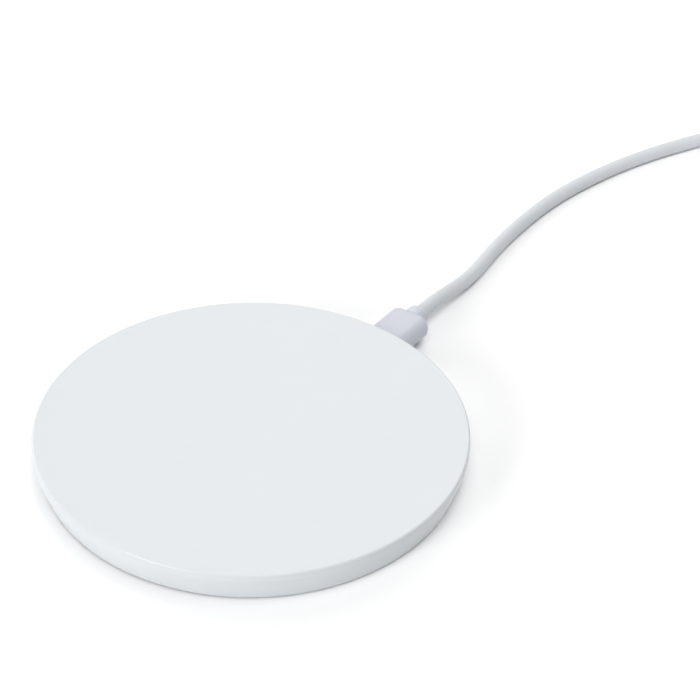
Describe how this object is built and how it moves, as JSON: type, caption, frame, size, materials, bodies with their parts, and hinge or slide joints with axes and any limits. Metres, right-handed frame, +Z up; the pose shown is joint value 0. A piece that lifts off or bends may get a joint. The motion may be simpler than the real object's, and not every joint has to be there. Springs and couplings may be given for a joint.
{
  "type": "wireless charging pad",
  "caption": "Slim round wireless charging pad with a flat charging face, tapered side, rubber feet and a detachable USB lead, its spare length coiled and tied.",
  "frame": {"origin": "centre of the pad's footprint on the surface it stands on", "axes": "+Z up, out of the charging face; +Y the way the USB-C port opens and its plug comes out; +X to the right seen from the side away from the port"},
  "size_m": [0.139, 0.2798, 0.0084],
  "materials": {
    "cover_plastic": "fine satin moulded, off-white",
    "base_plastic": "fine matt moulded, off-white",
    "foot_rubber": "soft matt silicone, pale grey",
    "screw_steel": "zinc plated",
    "board_laminate": "solder mask over copper",
    "chip_black": "plain moulded epoxy",
    "ceramic_tan": "fired ceramic with tinned ends",
    "can_steel": "drawn sheet",
    "connector_steel": "satin nickel plated sheet",
    "contact_gold": "gold flash",
    "insulator_black": "glass filled nylon",
    "litz_copper": "enamelled copper strands",
    "ferrite_dark": "sintered ferrite",
    "adhesive_film": "double-sided film",
    "thermistor_glass": "glazed bead",
    "grip_plastic": "satin moulded, cool white",
    "collar_plastic": "satin moulded, cool grey-white",
    "cord_jacket": "satin extruded jacket, cool grey-white",
    "tie_fabric": "woven hook-and-loop tape",
    "insert_white": "moulded nylon"
  },
  "bodies": {
    "pad": {"top_cover": "cover_plastic", "bottom_cover": "base_plastic", "rubber_feet": "foot_rubber", "cover_screws": "screw_steel", "board_screws": "screw_steel", "circuit_board": "board_laminate", "controller_chip": "chip_black", "power_mosfets": "chip_black", "resonance_capacitors": "ceramic_tan", "input_capacitors": "ceramic_tan", "power_inductor": "ferrite_dark", "crystal_oscillator": "can_steel", "chip_resistors": "chip_black", "receptacle_shell": "connector_steel", "receptacle_tongue": "insulator_black", "receptacle_contacts": "contact_gold", "transmit_coil": "litz_copper", "coil_leads": "litz_copper", "ferrite_shield": "ferrite_dark", "coil_adhesive": "adhesive_film", "cover_adhesive": "adhesive_film", "thermistor": "thermistor_glass"},
    "cable": {"plug_shell": "connector_steel", "plug_insert": "insulator_black", "plug_contacts": "contact_gold", "plug_overmold": "grip_plastic", "strain_relief_collar": "collar_plastic", "power_cord": "cord_jacket", "cord_coil": "cord_jacket", "cord_tail": "cord_jacket", "cord_tie": "tie_fabric", "usb_a_strain_relief": "collar_plastic", "usb_a_overmold": "grip_plastic", "usb_a_shell": "connector_steel", "usb_a_insert": "insert_white", "usb_a_contacts": "contact_gold"}
  },
  "joints": [
    {"name": "cable_unplug", "type": "slide", "parent": "pad", "child": "cable", "axis": [0, 1, 0], "range_m": [0, 0.03]}
  ]
}
